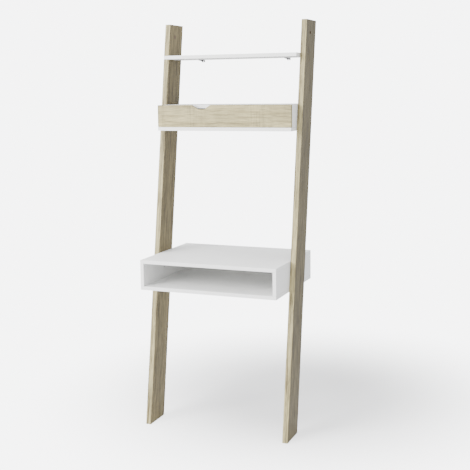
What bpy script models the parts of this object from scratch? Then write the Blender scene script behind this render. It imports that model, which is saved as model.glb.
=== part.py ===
"""Ladder shelf that leans on a wall: two slanted uprights carry an open-fronted desk box,
a case with one pull-out drawer, and a top shelf with two wall brackets.

Metres, +Z up. +X is the right-hand upright, -Y is the front, +Y is the wall.
"""

import math

import bmesh
import bpy
from mathutils import Matrix, Vector

# Overall sizes
INNER_W = 0.650  # between the uprights
HEIGHT = 1.860
UPRIGHT_T = 0.025
UPRIGHT_RUN = 0.139  # front to back, measured level
LEAN = math.tan(math.radians(9.0))  # metres back per metre up
BOARD_T = 0.016
BACK_GAP = 0.008  # the boxes stop this far short of the wall

# Desk box
DESK_Z = 0.794  # height of the writing surface
DESK_H = 0.136
DESK_DEPTH = 0.491

# Drawer case, measured down from the top of the uprights
CASE_DROP = 0.376
CASE_H = 0.117
CASE_DEPTH = 0.2835
FINGER_GAP = 0.020  # the case top starts this far behind the drawer front
STOP_BLOCK = (0.050, 0.012, 0.016)

# Drawer
DRAWER_SIDE_T = 0.014
DRAWER_SIDE_H = 0.072
DRAWER_LIFT = 0.005  # sides clear the case bottom by this much
DRAWER_REAR_GAP = 0.010
DRAWER_BOTTOM_T = 0.004
DRAWER_BOTTOM_UP = 0.006  # bottom's underside above the sides' lower edge
PANEL_GROOVE = 0.005
NOTCH_X = -0.107
NOTCH_TOP_W = 0.096
NOTCH_FLOOR_W = 0.034
NOTCH_DEPTH = 0.020

# Runners
RUNNER_T = 0.0085
RUNNER_H = 0.010
RUNNER_UP = 0.042  # centre above the drawer sides' lower edge

# Top shelf and its wall brackets
SHELF_DROP = 0.149
SHELF_DEPTH = 0.207
BRACKET_W = 0.016
BRACKET_LEG = 0.034
BRACKET_FALL = 0.010
BRACKET_T = 0.003
BRACKET_X = 0.218
WALL_SCREW_HOLE_R = 0.0022

# Fasteners
SCREW_R = 0.0020
SCREW_HEAD_R = 0.0040
SCREW_HEAD_H = 0.0024
SCREW_L = 0.034
SHORT_SCREW_L = 0.013
DOWEL_R = 0.0040
DOWEL_L = 0.030
DOWEL_FACE = 0.011  # how far a dowel enters the face board
THIN_DOWEL_R = 0.0030
SIDE_HOLE_R = 0.0075
SIDE_HOLE_DEPTH = 0.0125
SIDE_HOLE_DROP = 0.057
ROUND_SEGMENTS = 20

# Clearances
TOUCH = 0.0003  # between fixed pieces that touch
FRONT_FIT = 0.0008  # drawer front to the case
SIDE_FIT = 0.0020  # drawer side to case side
RUNNER_FIT = 0.0006  # runner strip in its groove
PANEL_FIT = 0.0004  # drawer bottom in its groove
EDGE = 0.0006  # eased edges

# Derived planes
WALL_RUN = HEIGHT * LEAN + UPRIGHT_RUN
FRONT_RUN = WALL_RUN - BACK_GAP - DESK_DEPTH
FOOT_Y = -(WALL_RUN + min(FRONT_RUN, 0.0)) / 2
WALL_Y = FOOT_Y + WALL_RUN
BACK_Y = WALL_Y - BACK_GAP
HALF_IN = INNER_W / 2 - TOUCH  # outer side of the boxes
CASE_TOP = HEIGHT - CASE_DROP
CASE_BOTTOM = CASE_TOP - CASE_H
SHELF_TOP = HEIGHT - SHELF_DROP
SIDES = (("left", -1), ("right", 1))

MATERIALS = {
    "oak_decor": ((0.62, 0.55, 0.42), 0.55, 0.0),
    "white_board": ((0.86, 0.86, 0.85), 0.35, 0.0),
    "hardboard": ((0.78, 0.77, 0.74), 0.60, 0.0),
    "runner_nylon": ((0.85, 0.85, 0.83), 0.45, 0.0),
    "dark_steel": ((0.07, 0.07, 0.075), 0.45, 0.9),
    "zinc_steel": ((0.62, 0.62, 0.60), 0.35, 1.0),
    "beech": ((0.72, 0.56, 0.38), 0.65, 0.0),
}


def clear_scene():
    for obj in list(bpy.data.objects):
        bpy.data.objects.remove(obj, do_unlink=True)


def material(name, slot):
    """A material of its own for one node, in the colours of its slot."""
    colour, roughness, metallic = MATERIALS[slot]
    mat = bpy.data.materials.new(name + "_" + slot)
    mat.use_nodes = True
    shader = mat.node_tree.nodes["Principled BSDF"]
    shader.inputs["Base Color"].default_value = (*colour, 1.0)
    shader.inputs["Roughness"].default_value = roughness
    shader.inputs["Metallic"].default_value = metallic
    return mat


def add_object(name, bm, origin=(0, 0, 0)):
    origin = Vector(origin)
    bmesh.ops.translate(bm, verts=bm.verts, vec=-origin)
    bmesh.ops.recalc_face_normals(bm, faces=bm.faces)
    mesh = bpy.data.meshes.new(name)
    bm.to_mesh(mesh)
    bm.free()
    obj = bpy.data.objects.new(name, mesh)
    obj.location = origin
    bpy.context.scene.collection.objects.link(obj)
    return obj


def box_into(bm, low, high):
    size = Vector(high) - Vector(low)
    place = Matrix.Translation((Vector(low) + Vector(high)) / 2) @ Matrix.Diagonal((*size, 1))
    bmesh.ops.create_cube(bm, size=1.0, matrix=place)


def prism_into(bm, outline, axis, start, end):
    """Extrude an outline of (a, b) pairs along X or Y from start to end."""
    rings = []
    for at in (start, end):
        if axis == "X":
            rings.append([bm.verts.new((at, a, b)) for a, b in outline])
        else:
            rings.append([bm.verts.new((a, at, b)) for a, b in outline])
    bm.faces.new(rings[0])
    bm.faces.new(list(reversed(rings[1])))
    count = len(outline)
    for i in range(count):
        j = (i + 1) % count
        bm.faces.new((rings[0][j], rings[0][i], rings[1][i], rings[1][j]))


def turned_into(bm, start, direction, profile):
    """A closed turned solid: profile lists (distance along the axis, radius) from end to end."""
    direction = Vector(direction).normalized()
    turn = Vector((0, 0, 1)).rotation_difference(direction).to_matrix()
    rings = []
    for along, radius in profile:
        ring = []
        for k in range(ROUND_SEGMENTS):
            angle = 2 * math.pi * (k + 0.5) / ROUND_SEGMENTS
            local = Vector((radius * math.cos(angle), radius * math.sin(angle), along))
            ring.append(bm.verts.new(Vector(start) + turn @ local))
        rings.append(ring)
    bm.faces.new(rings[0])
    bm.faces.new(list(reversed(rings[-1])))
    for low, high in zip(rings, rings[1:]):
        for k in range(ROUND_SEGMENTS):
            n = (k + 1) % ROUND_SEGMENTS
            bm.faces.new((low[n], low[k], high[k], high[n]))


def ease_edges(bm, width=EDGE):
    bmesh.ops.recalc_face_normals(bm, faces=bm.faces)
    bmesh.ops.bevel(
        bm,
        geom=list(bm.edges),
        offset=width,
        offset_type="OFFSET",
        segments=2,
        profile=0.5,
        affect="EDGES",
        material=-1,
        clamp_overlap=True,
    )


def cut(obj, cutter_bm):
    """Take one joined set of separate cutters out of a board."""
    if not cutter_bm.verts:
        cutter_bm.free()
        return
    cutter = add_object("cut_" + obj.name, cutter_bm, origin=obj.location)
    cutter.parent = obj
    cutter.location = (0, 0, 0)
    cutter.hide_render = True
    cutter.display_type = "WIRE"
    modifier = obj.modifiers.new("cut", "BOOLEAN")
    modifier.operation = "DIFFERENCE"
    modifier.solver = "EXACT"
    modifier.object = cutter


class Fastening:
    """Collects the bores each board needs, and the fasteners that fill them."""

    def __init__(self):
        self.bores = {}
        self.made = []

    def bore(self, board_name, start, direction, profile):
        self.bores.setdefault(board_name, []).append((start, direction, profile))

    def dowel(self, name, middle, direction, edge_board, face_board, radius=DOWEL_R):
        """A dowel from the edge of one board into the face of the next, along direction."""
        way = Vector(direction)
        start = Vector(middle) - way * (DOWEL_L - DOWEL_FACE)
        flat = 0.0008
        body = [
            (0, radius - flat),
            (flat, radius),
            (DOWEL_L - flat, radius),
            (DOWEL_L, radius - flat),
        ]
        self.made.append((name, start, way, body, "beech"))
        lap = 0.002
        bore = radius + TOUCH
        face_reach = DOWEL_FACE + TOUCH + lap
        edge_reach = DOWEL_L - DOWEL_FACE + TOUCH + lap
        self.bore(face_board, Vector(middle) - way * lap, way, [(0, bore), (face_reach, bore)])
        self.bore(edge_board, Vector(middle) + way * lap, -way, [(0, bore), (edge_reach, bore)])

    def screw(self, name, seat, direction, length, through, into, grip):
        """A countersunk screw: head flush at seat, through one board and into the next."""
        way = Vector(direction)
        tip = 0.003
        body = [
            (0, SCREW_HEAD_R),
            (0.0004, SCREW_HEAD_R),
            (SCREW_HEAD_H, SCREW_R),
            (length - tip, SCREW_R),
            (length, SCREW_R * 0.3),
        ]
        self.made.append((name, seat, way, body, "zinc_steel"))
        lap = 0.001
        hole = SCREW_R + TOUCH
        sink = [
            (-lap, SCREW_HEAD_R + TOUCH),
            (0.0004 + TOUCH, SCREW_HEAD_R + TOUCH),
            (SCREW_HEAD_H + TOUCH, hole),
            (grip + lap, hole),
        ]
        self.bore(through, seat, way, sink)
        start = Vector(seat) + way * (grip - lap)
        self.bore(into, start, way, [(0, hole), (length + TOUCH - grip + lap, hole)])

    def pan_screw(self, name, seat, direction, length, plate, into, grip):
        """A pan-head screw: head under a plate at seat, through it and into a board."""
        way = Vector(direction)
        start = Vector(seat) - way * (SCREW_HEAD_H + TOUCH)
        end = SCREW_HEAD_H + length
        body = [
            (0, SCREW_HEAD_R * 0.7),
            (SCREW_HEAD_H * 0.4, SCREW_HEAD_R),
            (SCREW_HEAD_H, SCREW_HEAD_R),
            (SCREW_HEAD_H, SCREW_R),
            (end - 0.002, SCREW_R),
            (end, SCREW_R * 0.3),
        ]
        self.made.append((name, start, way, body, "zinc_steel"))
        lap = 0.001
        hole = SCREW_R + TOUCH
        reach = length + TOUCH
        self.bore(plate, Vector(seat) - way * lap, way, [(0, hole), (grip + 2 * lap, hole)])
        self.bore(into, seat, way, [(0, hole), (reach, hole)])

    def drill_into(self, bm, board_name):
        for start, direction, profile in self.bores.get(board_name, ()):
            turned_into(bm, start, direction, profile)

    def build(self):
        for name, start, direction, body, slot in self.made:
            bm = bmesh.new()
            turned_into(bm, start, direction, body)
            obj = add_object(name, bm, origin=start)
            obj.data.materials.append(material(name, slot))


FIX = Fastening()


def finish_board(obj, slot, extra_cuts=None):
    """Give a board its material and take its bores and grooves out of it."""
    obj.data.materials.append(material(obj.name, slot))
    cutters = bmesh.new()
    FIX.drill_into(cutters, obj.name)
    if extra_cuts:
        extra_cuts(cutters)
    cut(obj, cutters)
    return obj


def board(name, low, high, slot, extra_cuts=None):
    """A flat board from corner to corner, with the bores its fasteners need."""
    bm = bmesh.new()
    box_into(bm, low, high)
    ease_edges(bm)
    middle = [(a + b) / 2 for a, b in zip(low, high)]
    return finish_board(add_object(name, bm, origin=middle), slot, extra_cuts)


def upright_front(z):
    return FOOT_Y + z * LEAN


def upright_middle(z):
    return upright_front(z) + UPRIGHT_RUN / 2


def plan_box_screws():
    """Four screws through each box's sides into the uprights."""
    spread = 0.038
    desk_z = DESK_Z - DESK_H / 2
    case_z = CASE_BOTTOM + BOARD_T + 0.013
    for side, sign in SIDES:
        for box_name, z in (("desk", desk_z), ("case", case_z)):
            for place, dy in (("front", -spread), ("rear", spread)):
                FIX.screw(
                    f"{box_name}_screw_{side}_{place}",
                    (sign * (HALF_IN - BOARD_T), upright_middle(z) + dy, z),
                    (sign, 0, 0),
                    SCREW_L,
                    f"{box_name}_side_{side}",
                    f"upright_{side}",
                    BOARD_T + TOUCH,
                )


def plan_dowels():
    shelf_z = SHELF_TOP - BOARD_T / 2
    desk_front = BACK_Y - DESK_DEPTH
    case_front = BACK_Y - CASE_DEPTH
    for side, sign in SIDES:
        board_x = sign * (HALF_IN - BOARD_T / 2)
        for place, dy in (("front", -0.035), ("rear", 0.035)):
            FIX.dowel(
                f"shelf_dowel_{side}_{place}",
                (sign * INNER_W / 2, upright_middle(shelf_z) + dy, shelf_z),
                (sign, 0, 0),
                "top_shelf",
                f"upright_{side}",
            )
        for place, y in (("front", desk_front + 0.060), ("rear", BACK_Y - 0.060)):
            FIX.dowel(
                f"desk_top_dowel_{side}_{place}",
                (board_x, y, DESK_Z - BOARD_T),
                (0, 0, 1),
                f"desk_side_{side}",
                "desk_top",
            )
            FIX.dowel(
                f"desk_bottom_dowel_{side}_{place}",
                (board_x, y, DESK_Z - DESK_H + BOARD_T),
                (0, 0, -1),
                f"desk_side_{side}",
                "desk_bottom",
            )
        for place, y in (("front", case_front + 0.050), ("rear", BACK_Y - 0.050)):
            FIX.dowel(
                f"case_bottom_dowel_{side}_{place}",
                (board_x, y, CASE_BOTTOM + BOARD_T),
                (0, 0, -1),
                f"case_side_{side}",
                "case_bottom",
            )
        FIX.dowel(
            f"case_top_dowel_{side}",
            (sign * (HALF_IN - BOARD_T), BACK_Y - CASE_DEPTH / 2, CASE_TOP - BOARD_T / 2),
            (sign, 0, 0),
            "case_top",
            f"case_side_{side}",
        )
        side_x = sign * (drawer_half() - DRAWER_SIDE_T / 2)
        for place, up in (("low", 0.021), ("high", 0.060)):
            FIX.dowel(
                f"drawer_dowel_{side}_{place}",
                (side_x, case_front + BOARD_T, drawer_low() + up),
                (0, -1, 0),
                f"drawer_side_{side}",
                "drawer_front",
                THIN_DOWEL_R,
            )


def plan_bracket_screws():
    under = SHELF_TOP - BOARD_T
    for side, sign in SIDES:
        FIX.pan_screw(
            f"bracket_screw_{side}",
            (sign * BRACKET_X, BACK_Y - BRACKET_LEG * 0.55, under - TOUCH - BRACKET_T),
            (0, 0, 1),
            SHORT_SCREW_L,
            f"wall_bracket_{side}",
            "top_shelf",
            BRACKET_T,
        )


def drawer_half():
    """Half the drawer's outside width."""
    return HALF_IN - BOARD_T - SIDE_FIT


def drawer_low():
    """Height of the drawer sides' lower edge."""
    return CASE_BOTTOM + BOARD_T + DRAWER_LIFT


def build_uprights():
    for side, sign in SIDES:
        inner = sign * INNER_W / 2
        outer = sign * (INNER_W / 2 + UPRIGHT_T)
        outline = [
            (upright_front(0), 0),
            (upright_front(0) + UPRIGHT_RUN, 0),
            (upright_front(HEIGHT) + UPRIGHT_RUN, HEIGHT),
            (upright_front(HEIGHT), HEIGHT),
        ]
        bm = bmesh.new()
        prism_into(bm, outline, "X", min(inner, outer), max(inner, outer))
        ease_edges(bm)
        obj = add_object(f"upright_{side}", bm, origin=(inner, upright_middle(0), 0))
        z = HEIGHT - SIDE_HOLE_DROP

        def side_hole(cutters, outer=outer, sign=sign, z=z):
            start = (outer + sign * 0.002, upright_front(z) + UPRIGHT_RUN * 0.41, z)
            depth = SIDE_HOLE_DEPTH + 0.002
            turned_into(cutters, start, (-sign, 0, 0), [(0, SIDE_HOLE_R), (depth, SIDE_HOLE_R)])

        finish_board(obj, "oak_decor", side_hole)


def build_box_shell(name, front, top, height, lip):
    """Top or bottom boards run full width; the sides and back stand between them."""
    bottom = top - height
    low_in = bottom + BOARD_T + TOUCH
    inner = HALF_IN - BOARD_T - TOUCH
    board(
        f"{name}_bottom",
        (-HALF_IN, front, bottom),
        (HALF_IN, BACK_Y, bottom + BOARD_T),
        "white_board",
    )
    side_top = top if lip else top - BOARD_T - TOUCH
    side_front = front + lip
    for side, sign in SIDES:
        edges = sorted((sign * HALF_IN, sign * (HALF_IN - BOARD_T)))
        board(
            f"{name}_side_{side}",
            (edges[0], side_front, low_in),
            (edges[1], BACK_Y, side_top),
            "white_board",
        )
    board(
        f"{name}_back",
        (-inner, BACK_Y - BOARD_T, low_in),
        (inner, BACK_Y, top - BOARD_T - TOUCH),
        "white_board",
    )


def build_desk():
    front = BACK_Y - DESK_DEPTH
    build_box_shell("desk", front, DESK_Z, DESK_H, 0.0)
    board(
        "desk_top",
        (-HALF_IN, front, DESK_Z - BOARD_T),
        (HALF_IN, BACK_Y, DESK_Z),
        "white_board",
    )


def build_case():
    """The drawer's case: its sides reach the top, and its bottom runs out under the front."""
    front = BACK_Y - CASE_DEPTH
    lip = BOARD_T + FRONT_FIT
    build_box_shell("case", front, CASE_TOP, CASE_H, lip)
    inner = HALF_IN - BOARD_T - TOUCH
    top_front = front + lip + FINGER_GAP
    board(
        "case_top",
        (-inner, top_front, CASE_TOP - BOARD_T),
        (inner, BACK_Y, CASE_TOP),
        "white_board",
    )
    wide, deep, tall = STOP_BLOCK
    under = CASE_TOP - BOARD_T - TOUCH
    board(
        "drawer_stop",
        (-wide / 2, top_front + 0.020, under - tall),
        (wide / 2, top_front + 0.020 + deep, under),
        "beech",
    )
    z = drawer_low() + RUNNER_UP
    for side, sign in SIDES:
        edges = sorted((sign * (HALF_IN - BOARD_T - TOUCH), sign * (HALF_IN - BOARD_T - RUNNER_T)))
        board(
            f"runner_{side}",
            (edges[0], front + lip + 0.022, z - RUNNER_H / 2),
            (edges[1], BACK_Y - BOARD_T - TOUCH, z + RUNNER_H / 2),
            "runner_nylon",
        )


def build_drawer():
    front = BACK_Y - CASE_DEPTH
    rear = BACK_Y - BOARD_T - DRAWER_REAR_GAP
    low = drawer_low()
    half = drawer_half()
    groove_low = low + DRAWER_BOTTOM_UP
    groove_high = groove_low + DRAWER_BOTTOM_T + 2 * PANEL_FIT
    side_front = front + BOARD_T + TOUCH
    in_half = half - DRAWER_SIDE_T

    def front_cuts(cutters):
        top = CASE_TOP
        slope = (NOTCH_TOP_W - NOTCH_FLOOR_W) / 2 / NOTCH_DEPTH
        over = 0.004
        notch = [
            (NOTCH_X - NOTCH_TOP_W / 2 - slope * over, top + over),
            (NOTCH_X - NOTCH_FLOOR_W / 2, top - NOTCH_DEPTH),
            (NOTCH_X + NOTCH_FLOOR_W / 2, top - NOTCH_DEPTH),
            (NOTCH_X + NOTCH_TOP_W / 2 + slope * over, top + over),
        ]
        prism_into(cutters, notch, "Y", front - over, front + BOARD_T + over)
        groove_x = in_half + PANEL_GROOVE
        back = front + BOARD_T
        box_into(
            cutters,
            (-groove_x, back - PANEL_GROOVE, groove_low),
            (groove_x, back + over, groove_high),
        )

    board(
        "drawer_front",
        (-HALF_IN, front, CASE_BOTTOM + BOARD_T + FRONT_FIT),
        (HALF_IN, front + BOARD_T, CASE_TOP),
        "oak_decor",
        front_cuts,
    )
    for side, sign in SIDES:
        outer, inner = sign * half, sign * in_half

        def side_cuts(cutters, sign=sign, outer=outer, inner=inner):
            over = sign * 0.004
            z = low + RUNNER_UP
            tall = RUNNER_H / 2 + RUNNER_FIT
            xs = sorted((outer + over, sign * (HALF_IN - BOARD_T - RUNNER_T - RUNNER_FIT)))
            box_into(cutters, (xs[0], side_front + 0.015, z - tall), (xs[1], rear + 0.004, z + tall))
            xs = sorted((inner - over, inner + sign * PANEL_GROOVE))
            box_into(
                cutters, (xs[0], side_front - 0.004, groove_low), (xs[1], rear + 0.004, groove_high)
            )

        edges = sorted((outer, inner))
        board(
            f"drawer_side_{side}",
            (edges[0], side_front, low),
            (edges[1], rear, low + DRAWER_SIDE_H),
            "white_board",
            side_cuts,
        )
    board(
        "drawer_back",
        (-in_half + TOUCH, rear - 0.012, groove_high),
        (in_half - TOUCH, rear, low + DRAWER_SIDE_H),
        "white_board",
    )
    reach = in_half + PANEL_GROOVE - PANEL_FIT
    board(
        "drawer_bottom",
        (-reach, front + BOARD_T - PANEL_GROOVE + PANEL_FIT, groove_low + PANEL_FIT),
        (reach, rear, groove_high - PANEL_FIT),
        "hardboard",
    )


def build_shelf():
    board(
        "top_shelf",
        (-HALF_IN, BACK_Y - SHELF_DEPTH, SHELF_TOP - BOARD_T),
        (HALF_IN, BACK_Y, SHELF_TOP),
        "white_board",
    )
    under = SHELF_TOP - BOARD_T - TOUCH
    rear = WALL_Y - TOUCH
    outline = [
        (BACK_Y - BRACKET_LEG, under),
        (BACK_Y - BRACKET_LEG, under - BRACKET_T),
        (rear - BRACKET_T, under - BRACKET_T),
        (rear - BRACKET_T, under - BRACKET_FALL),
        (rear, under - BRACKET_FALL),
        (rear, under),
    ]
    for side, sign in SIDES:
        bm = bmesh.new()
        middle = sign * BRACKET_X
        prism_into(bm, outline, "X", middle - BRACKET_W / 2, middle + BRACKET_W / 2)
        obj = add_object(f"wall_bracket_{side}", bm, origin=(middle, rear, under))

        def wall_hole(cutters, middle=middle):
            start = (middle, rear + 0.002, under - BRACKET_FALL * 0.58)
            hole = [(0, WALL_SCREW_HOLE_R), (BRACKET_T + 0.004, WALL_SCREW_HOLE_R)]
            turned_into(cutters, start, (0, -1, 0), hole)

        finish_board(obj, "dark_steel", wall_hole)


def hang_drawer():
    """Parent the drawer's pieces to an empty on the line it slides along."""
    slide = bpy.data.objects.new("drawer_slide", None)
    slide.location = (0, BACK_Y - CASE_DEPTH, drawer_low() + RUNNER_UP)
    bpy.context.scene.collection.objects.link(slide)
    for obj in list(bpy.data.objects):
        moving = obj.name.startswith("drawer_") and obj.name != "drawer_stop"
        if moving and obj.type == "MESH":
            obj.parent = slide
            obj.matrix_parent_inverse = Matrix.Translation(-slide.location)


def main():
    clear_scene()
    plan_box_screws()
    plan_dowels()
    plan_bracket_screws()
    build_uprights()
    build_desk()
    build_case()
    build_drawer()
    build_shelf()
    FIX.build()
    hang_drawer()


main()
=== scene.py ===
"""Ladder shelf on a pale studio floor: finishes, lights and camera.

Metres, +Z up. +X is the right-hand upright, -Y is the front.
"""

import math

import bmesh
import bpy
from mathutils import Matrix, Vector

# Colours, linear
OAK_LIGHT = (0.410, 0.352, 0.176)
OAK_MID = (0.305, 0.258, 0.122)
OAK_DARK = (0.095, 0.070, 0.028)
WHITE_FOIL = (0.800, 0.800, 0.790)
WHITE_FOIL_WARM = (0.770, 0.768, 0.750)
BARE_HARDBOARD = (0.640, 0.620, 0.570)
NYLON = (0.740, 0.735, 0.700)
BRACKET_DARK = (0.020, 0.020, 0.022)
ZINC = (0.560, 0.560, 0.550)
BEECH_LIGHT = (0.640, 0.450, 0.270)
BEECH_DARK = (0.500, 0.320, 0.170)
FLOOR_PALE = (0.830, 0.830, 0.830)
BACKDROP = (0.985, 0.990, 1.000)
BACKDROP_STRENGTH = 6.6
AMBIENT = (0.970, 0.980, 1.000)
AMBIENT_STRENGTH = 1.62

# The uprights' wide faces are darker than their front edges by these factors: partly a browner
# print, partly painted shade on those sides, deeper on the right upright
LEFT_WIDE_PRINT_AND_SHADE = 0.47
RIGHT_WIDE_PRINT_AND_SHADE = 0.34

# Camera
CAMERA_PLACE = (1.5974, -3.8276, 1.5500)
CAMERA_TURN = 22.157
CAMERA_DIP = 7.320
CAMERA_ROLL = -0.678
CAMERA_LENS = 69.70
CAMERA_SHIFT_Y = -0.060

LEAN = math.radians(9.0)  # uprights lean back by this much

# Blind hole near the top of each upright
HOLE_PLACE = (0.3500, 0.1586, 1.8030)
HOLE_REACH = 0.0079
# Bare board inside the holes, darkened further as painted shade in the recess
RAW_BOARD_IN_SHADE = (0.085, 0.055, 0.028)

# The floor shows most at its middle, behind and right of the ladder, as a painted shadow pool
# against the brighter backdrop, and fades into the backdrop between the two distances from there
SHADOW_POOL_MIDDLE = (0.17, 0.50, 0.0)
FLOOR_RADIUS = 7.0
FADE_START = 0.25
FADE_END = 1.45

# Area lights: name, place, aim, size, watts
LIGHTS = (
    ("key", (-2.4, -3.6, 2.6), (0, 0, 0.9), (2.6, 2.6), 400),
    ("front", (0.6, -5.0, 1.2), (0, 0, 0.8), (3.0, 2.0), 150),
    ("top", (-0.6, -0.3, 4.2), (0, 0, 0.5), (3.0, 3.0), 110),
)


class Nodes:
    """A short way to lay out one material's node tree."""

    def __init__(self, name):
        self.material = bpy.data.materials.new(name)
        self.material.use_nodes = True
        self.tree = self.material.node_tree
        self.shader = self.tree.nodes["Principled BSDF"]

    def add(self, kind, **values):
        node = self.tree.nodes.new(kind)
        for key, value in values.items():
            if hasattr(node, key):
                setattr(node, key, value)
            else:
                node.inputs[key.replace("_", " ")].default_value = value
        return node

    def link(self, out, socket):
        self.tree.links.new(out, socket)

    def place(self, scale, turn=(0, 0, 0), move=(0, 0, 0)):
        """Object coordinates, turned, then stretched."""
        where = self.add("ShaderNodeTexCoord")
        turned = self.add("ShaderNodeMapping")
        turned.inputs["Rotation"].default_value = turn
        turned.inputs["Location"].default_value = move
        self.link(where.outputs["Object"], turned.inputs["Vector"])
        stretched = self.add("ShaderNodeMapping")
        stretched.inputs["Scale"].default_value = scale
        self.link(turned.outputs["Vector"], stretched.inputs["Vector"])
        return stretched.outputs["Vector"]

    def noise(self, vector, scale, detail=4.0, roughness=0.55, distortion=0.0):
        node = self.add("ShaderNodeTexNoise")
        node.inputs["Scale"].default_value = scale
        node.inputs["Detail"].default_value = detail
        node.inputs["Roughness"].default_value = roughness
        node.inputs["Distortion"].default_value = distortion
        self.link(vector, node.inputs["Vector"])
        return node.outputs["Fac"]

    def ramp(self, value, stops):
        node = self.add("ShaderNodeValToRGB")
        elements = node.color_ramp.elements
        while len(elements) < len(stops):
            elements.new(0.5)
        for element, (at, colour) in zip(elements, stops):
            element.position = at
            element.color = (*colour, 1.0) if len(colour) == 3 else colour
        self.link(value, node.inputs["Fac"])
        return node.outputs["Color"]

    def grey(self, value, low, high, dark=0.0, light=1.0):
        return self.ramp(value, [(low, (dark,) * 3), (high, (light,) * 3)])

    def mix(self, factor, a, b, mode="MIX"):
        node = self.add("ShaderNodeMix", data_type="RGBA", blend_type=mode)
        for source, socket in ((factor, node.inputs[0]), (a, node.inputs[6]), (b, node.inputs[7])):
            if isinstance(source, bpy.types.NodeSocket):
                self.link(source, socket)
            elif isinstance(source, tuple):
                socket.default_value = (*source, 1.0)
            else:
                socket.default_value = source
        return node.outputs[2]

    def bump(self, height, strength, distance):
        node = self.add("ShaderNodeBump")
        node.inputs["Strength"].default_value = strength
        node.inputs["Distance"].default_value = distance
        self.link(height, node.inputs["Height"])
        self.link(node.outputs["Normal"], self.shader.inputs["Normal"])

    def set(self, **values):
        for key, value in values.items():
            self.shader.inputs[key.replace("_", " ")].default_value = value


def oak_decor(name, along, turn, seed, saw_marks=0.0, wide_print_and_shade=1.0, hole=None, depth=0.85):
    """Printed oak: long streaks, fine pores, a few dark flecks, and faint cross saw marks.

    The wide-face factor darkens the faces that look left and right: partly a browner print than
    the edge strip, partly painted shade on those sides.
    hole is the middle of a bored hole that shows bare board, painted darker for the shade inside
    the hole.
    depth is how dark the streaks get, and saw_marks is how strong the cross marks are.
    """
    n = Nodes(name)
    across = [1.0, 1.0, 1.0]
    across["XYZ".index(along)] = 0.045
    move = (seed * 1.7, seed * 2.3, seed * 0.9)
    grain = n.place(tuple(across), turn, move)
    broad = n.noise(grain, 26.0, 3.0, 0.5, 0.35)
    streak = n.noise(grain, 150.0, 6.0, 0.72, 0.25)
    pores = n.noise(grain, 420.0, 3.0, 0.6)
    base = n.ramp(broad, [(0.28, OAK_MID), (0.50, OAK_LIGHT), (0.78, OAK_MID)])
    dark = n.grey(streak, 0.47, 0.61, 0.0, depth)
    base = n.mix(dark, base, OAK_DARK)
    fine = n.grey(pores, 0.38, 0.62, 0.62, 1.12)
    base = n.mix(0.85, base, fine, "MULTIPLY")
    wide = [0.9, 0.9, 0.9]
    wide["XYZ".index(along)] = 0.20
    patch = n.noise(n.place(tuple(wide), turn, move), 14.0, 3.0, 0.55)
    base = n.mix(0.80, base, n.grey(patch, 0.32, 0.68, 0.74, 1.10), "MULTIPLY")
    if saw_marks:
        cross = [2.0, 2.0, 2.0]
        cross["XYZ".index(along)] = 30.0
        marks = n.noise(n.place(tuple(cross), turn, move), 4.0, 2.0, 0.6)
        spread = n.noise(n.place((1.0, 1.0, 1.0), turn, move), 6.0, 1.0, 0.5)
        there = n.grey(spread, 0.42, 0.58, 0.1, saw_marks)
        ticks = n.grey(marks, 0.42, 0.58, 1.08, 0.80)
        base = n.mix(there, base, n.mix(1.0, base, ticks, "MULTIPLY"))
    # Painted shade: faces looking left or right are darkened, partly browner print and partly the
    # shade those sides get
    if wide_print_and_shade != 1.0:
        facing = n.add("ShaderNodeNewGeometry")
        split = n.add("ShaderNodeSeparateXYZ")
        n.link(facing.outputs["True Normal"], split.inputs["Vector"])
        sideways = n.add("ShaderNodeMath", operation="ABSOLUTE")
        n.link(split.outputs["X"], sideways.inputs[0])
        wide_face_shade_mask = n.grey(sideways.outputs["Value"], 0.5, 0.9)
        tone = (wide_print_and_shade, wide_print_and_shade * 0.93, wide_print_and_shade * 0.82)
        base = n.mix(wide_face_shade_mask, base, n.mix(1.0, base, tone, "MULTIPLY"))
    # Painted shade: the hole's walls and floor get bare board darkened for the shade inside the
    # hole
    if hole:
        off = n.add("ShaderNodeVectorMath", operation="SUBTRACT")
        n.link(n.place((1.0, 1.0, 1.0)), off.inputs[0])
        off.inputs[1].default_value = hole
        flat = n.add("ShaderNodeVectorMath", operation="MULTIPLY")
        n.link(off.outputs["Vector"], flat.inputs[0])
        flat.inputs[1].default_value = (0.0, 1.0, 1.0)
        away = n.add("ShaderNodeVectorMath", operation="LENGTH")
        n.link(flat.outputs["Vector"], away.inputs[0])
        inside = n.grey(away.outputs["Value"], HOLE_REACH, HOLE_REACH + 0.0002, 1.0, 0.0)
        base = n.mix(inside, base, RAW_BOARD_IN_SHADE)
    n.link(base, n.shader.inputs["Base Color"])
    n.link(n.grey(streak, 0.30, 0.70, 0.50, 0.66), n.shader.inputs["Roughness"])
    n.bump(streak, 0.18, 0.0006)
    n.set(Specular_IOR_Level=0.35)
    return n.material


def white_foil(name, rough=0.46):
    """White satin foil over board: a slight waviness and a barely warmer mottling."""
    n = Nodes(name)
    where = n.place((1.0, 1.0, 1.0))
    mottle = n.noise(where, 9.0, 3.0, 0.5)
    n.link(
        n.ramp(mottle, [(0.30, WHITE_FOIL_WARM), (0.70, WHITE_FOIL)]),
        n.shader.inputs["Base Color"],
    )
    sheen = n.noise(where, 38.0, 4.0, 0.6)
    n.link(n.grey(sheen, 0.30, 0.70, rough - 0.05, rough + 0.07), n.shader.inputs["Roughness"])
    n.bump(n.noise(where, 14.0, 1.0, 0.5), 0.03, 0.0010)
    n.set(Specular_IOR_Level=0.25)
    return n.material


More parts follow.
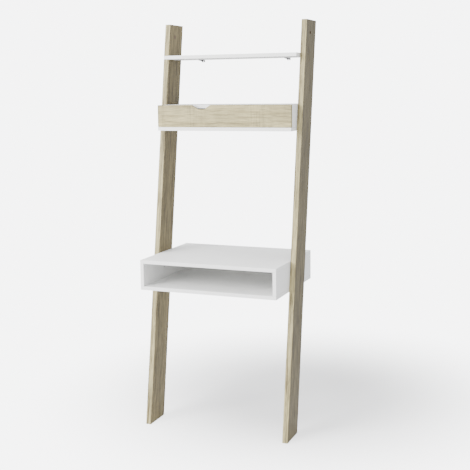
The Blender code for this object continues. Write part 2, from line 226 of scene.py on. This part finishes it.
def speckled(name, light, dark, scale, rough, metallic=0.0, bump=0.06):
    """A plain fitting with fine mottling in colour and roughness."""
    n = Nodes(name)
    where = n.place((1.0, 1.0, 1.0))
    grain = n.noise(where, scale, 4.0, 0.6)
    n.link(n.ramp(grain, [(0.32, dark), (0.68, light)]), n.shader.inputs["Base Color"])
    n.link(n.grey(grain, 0.3, 0.7, rough - 0.06, rough + 0.08), n.shader.inputs["Roughness"])
    n.bump(grain, bump, 0.0002)
    n.set(Metallic=metallic)
    return n.material


def beech(name):
    """Plain beech for the dowels and the stop block."""
    n = Nodes(name)
    grain = n.noise(n.place((1.0, 1.0, 0.12)), 160.0, 4.0, 0.6)
    n.link(n.ramp(grain, [(0.3, BEECH_DARK), (0.7, BEECH_LIGHT)]), n.shader.inputs["Base Color"])
    n.bump(grain, 0.10, 0.0003)
    n.set(Roughness=0.62)
    return n.material


def darker(colour, factor):
    return tuple(c * factor for c in colour)


def give(obj, material):
    """Put a finish in every slot of a node."""
    if not obj.material_slots:
        obj.data.materials.append(material)
    for slot in obj.material_slots:
        slot.material = material


def finish_nodes(nodes):
    upright_turn = (LEAN, 0, 0)
    holes = [
        tuple(nodes[name].matrix_world.inverted() @ Vector(HOLE_PLACE))
        for name in ("upright_left", "upright_right")
    ]
    shared = {
        "upright_left": oak_decor(
            "oak_left_upright",
            "Z",
            upright_turn,
            seed=1.3,
            wide_print_and_shade=LEFT_WIDE_PRINT_AND_SHADE,
            hole=holes[0],
        ),
        "upright_right": oak_decor(
            "oak_right_upright",
            "Z",
            upright_turn,
            seed=4.1,
            wide_print_and_shade=RIGHT_WIDE_PRINT_AND_SHADE,
            hole=holes[1],
        ),
        "drawer_front": oak_decor(
            "oak_drawer_front", "X", (0, 0, 0), seed=2.6, saw_marks=0.9, depth=0.45
        ),
        "drawer_bottom": speckled(
            "hardboard_face", BARE_HARDBOARD, darker(BARE_HARDBOARD, 0.9), 240.0, 0.6
        ),
    }
    white = white_foil("white_foil")
    nylon = speckled("runner_nylon", NYLON, darker(NYLON, 0.95), 300.0, 0.45)
    bracket = speckled("bracket_coating", BRACKET_DARK, darker(BRACKET_DARK, 0.7), 500.0, 0.60)
    zinc = speckled("zinc_plate", ZINC, darker(ZINC, 0.85), 900.0, 0.34, 1.0)
    peg = beech("beech_peg")
    for name, obj in nodes.items():
        if name in shared:
            give(obj, shared[name])
        elif "dowel" in name or name == "drawer_stop":
            give(obj, peg)
        elif "bracket" in name:
            give(obj, bracket)
        elif "screw" in name:
            give(obj, zinc)
        elif name.startswith("runner"):
            give(obj, nylon)
        else:
            give(obj, white)


def stage_floor():
    """A round pale floor that fades into the backdrop; its opaque middle is a painted shadow pool
    behind and right of the ladder.
    """
    bm = bmesh.new()
    bmesh.ops.create_circle(bm, cap_ends=True, segments=96, radius=FLOOR_RADIUS)
    mesh = bpy.data.meshes.new("floor")
    bm.to_mesh(mesh)
    bm.free()
    floor = bpy.data.objects.new("floor", mesh)
    floor.location = SHADOW_POOL_MIDDLE
    bpy.context.scene.collection.objects.link(floor)
    n = Nodes("pale_floor")
    n.set(Roughness=0.75, Specular_IOR_Level=0.2)
    n.shader.inputs["Base Color"].default_value = (*FLOOR_PALE, 1.0)
    where = n.add("ShaderNodeTexCoord")
    reach = n.add("ShaderNodeVectorMath", operation="LENGTH")
    n.link(where.outputs["Object"], reach.inputs[0])
    # Painted shadow pool: the floor is opaque near its middle and clears to the bright backdrop
    # further out
    fade = n.add("ShaderNodeMapRange", interpolation_type="SMOOTHSTEP")
    fade.inputs["From Min"].default_value = FADE_START
    fade.inputs["From Max"].default_value = FADE_END
    n.link(reach.outputs["Value"], fade.inputs["Value"])
    clear = n.add("ShaderNodeBsdfTransparent")
    blend = n.add("ShaderNodeMixShader")
    n.link(fade.outputs["Result"], blend.inputs["Fac"])
    n.link(n.shader.outputs["BSDF"], blend.inputs[1])
    n.link(clear.outputs["BSDF"], blend.inputs[2])
    out = n.tree.nodes["Material Output"]
    n.link(blend.outputs["Shader"], out.inputs["Surface"])
    floor.data.materials.append(n.material)


def stage_light(name, place, target, size, power):
    data = bpy.data.lights.new(name, "AREA")
    data.shape = "RECTANGLE"
    data.size, data.size_y = size
    data.energy = power
    light = bpy.data.objects.new(name, data)
    light.location = place
    aim = Vector(target) - Vector(place)
    light.rotation_mode = "QUATERNION"
    light.rotation_quaternion = aim.to_track_quat("-Z", "Y")
    bpy.context.scene.collection.objects.link(light)


def stage_world():
    """Pale backdrop to the eye, softer light on the object."""
    world = bpy.data.worlds.new("studio")
    world.use_nodes = True
    bpy.context.scene.world = world
    tree = world.node_tree
    seen = tree.nodes["Background"]
    seen.inputs["Color"].default_value = (*BACKDROP, 1.0)
    seen.inputs["Strength"].default_value = BACKDROP_STRENGTH
    lit = tree.nodes.new("ShaderNodeBackground")
    lit.inputs["Color"].default_value = (*AMBIENT, 1.0)
    lit.inputs["Strength"].default_value = AMBIENT_STRENGTH
    path = tree.nodes.new("ShaderNodeLightPath")
    blend = tree.nodes.new("ShaderNodeMixShader")
    tree.links.new(path.outputs["Is Camera Ray"], blend.inputs["Fac"])
    tree.links.new(lit.outputs["Background"], blend.inputs[1])
    tree.links.new(seen.outputs["Background"], blend.inputs[2])
    tree.links.new(blend.outputs["Shader"], tree.nodes["World Output"].inputs["Surface"])


def stage_camera():
    turn, dip, roll = (math.radians(a) for a in (CAMERA_TURN, CAMERA_DIP, CAMERA_ROLL))
    ahead = Vector(
        (-math.sin(turn) * math.cos(dip), math.cos(turn) * math.cos(dip), -math.sin(dip))
    )
    level = Vector((math.cos(turn), math.sin(turn), 0))
    upward = level.cross(ahead)
    right = level * math.cos(roll) + upward * math.sin(roll)
    top = upward * math.cos(roll) - level * math.sin(roll)
    data = bpy.data.cameras.new("camera")
    data.sensor_width = 36.0
    data.lens = CAMERA_LENS
    data.shift_y = CAMERA_SHIFT_Y
    camera = bpy.data.objects.new("camera", data)
    axes = Matrix((right, top, -ahead)).transposed()
    camera.matrix_world = Matrix.Translation(CAMERA_PLACE) @ axes.to_4x4()
    bpy.context.scene.collection.objects.link(camera)
    bpy.context.scene.camera = camera


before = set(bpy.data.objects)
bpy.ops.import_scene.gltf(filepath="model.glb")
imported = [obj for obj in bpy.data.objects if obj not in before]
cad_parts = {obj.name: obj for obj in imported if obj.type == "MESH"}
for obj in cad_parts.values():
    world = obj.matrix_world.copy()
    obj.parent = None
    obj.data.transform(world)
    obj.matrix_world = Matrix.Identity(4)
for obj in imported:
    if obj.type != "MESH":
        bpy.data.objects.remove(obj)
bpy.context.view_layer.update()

finish_nodes(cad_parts)
stage_floor()
for light in LIGHTS:
    stage_light(*light)
stage_world()
stage_camera()
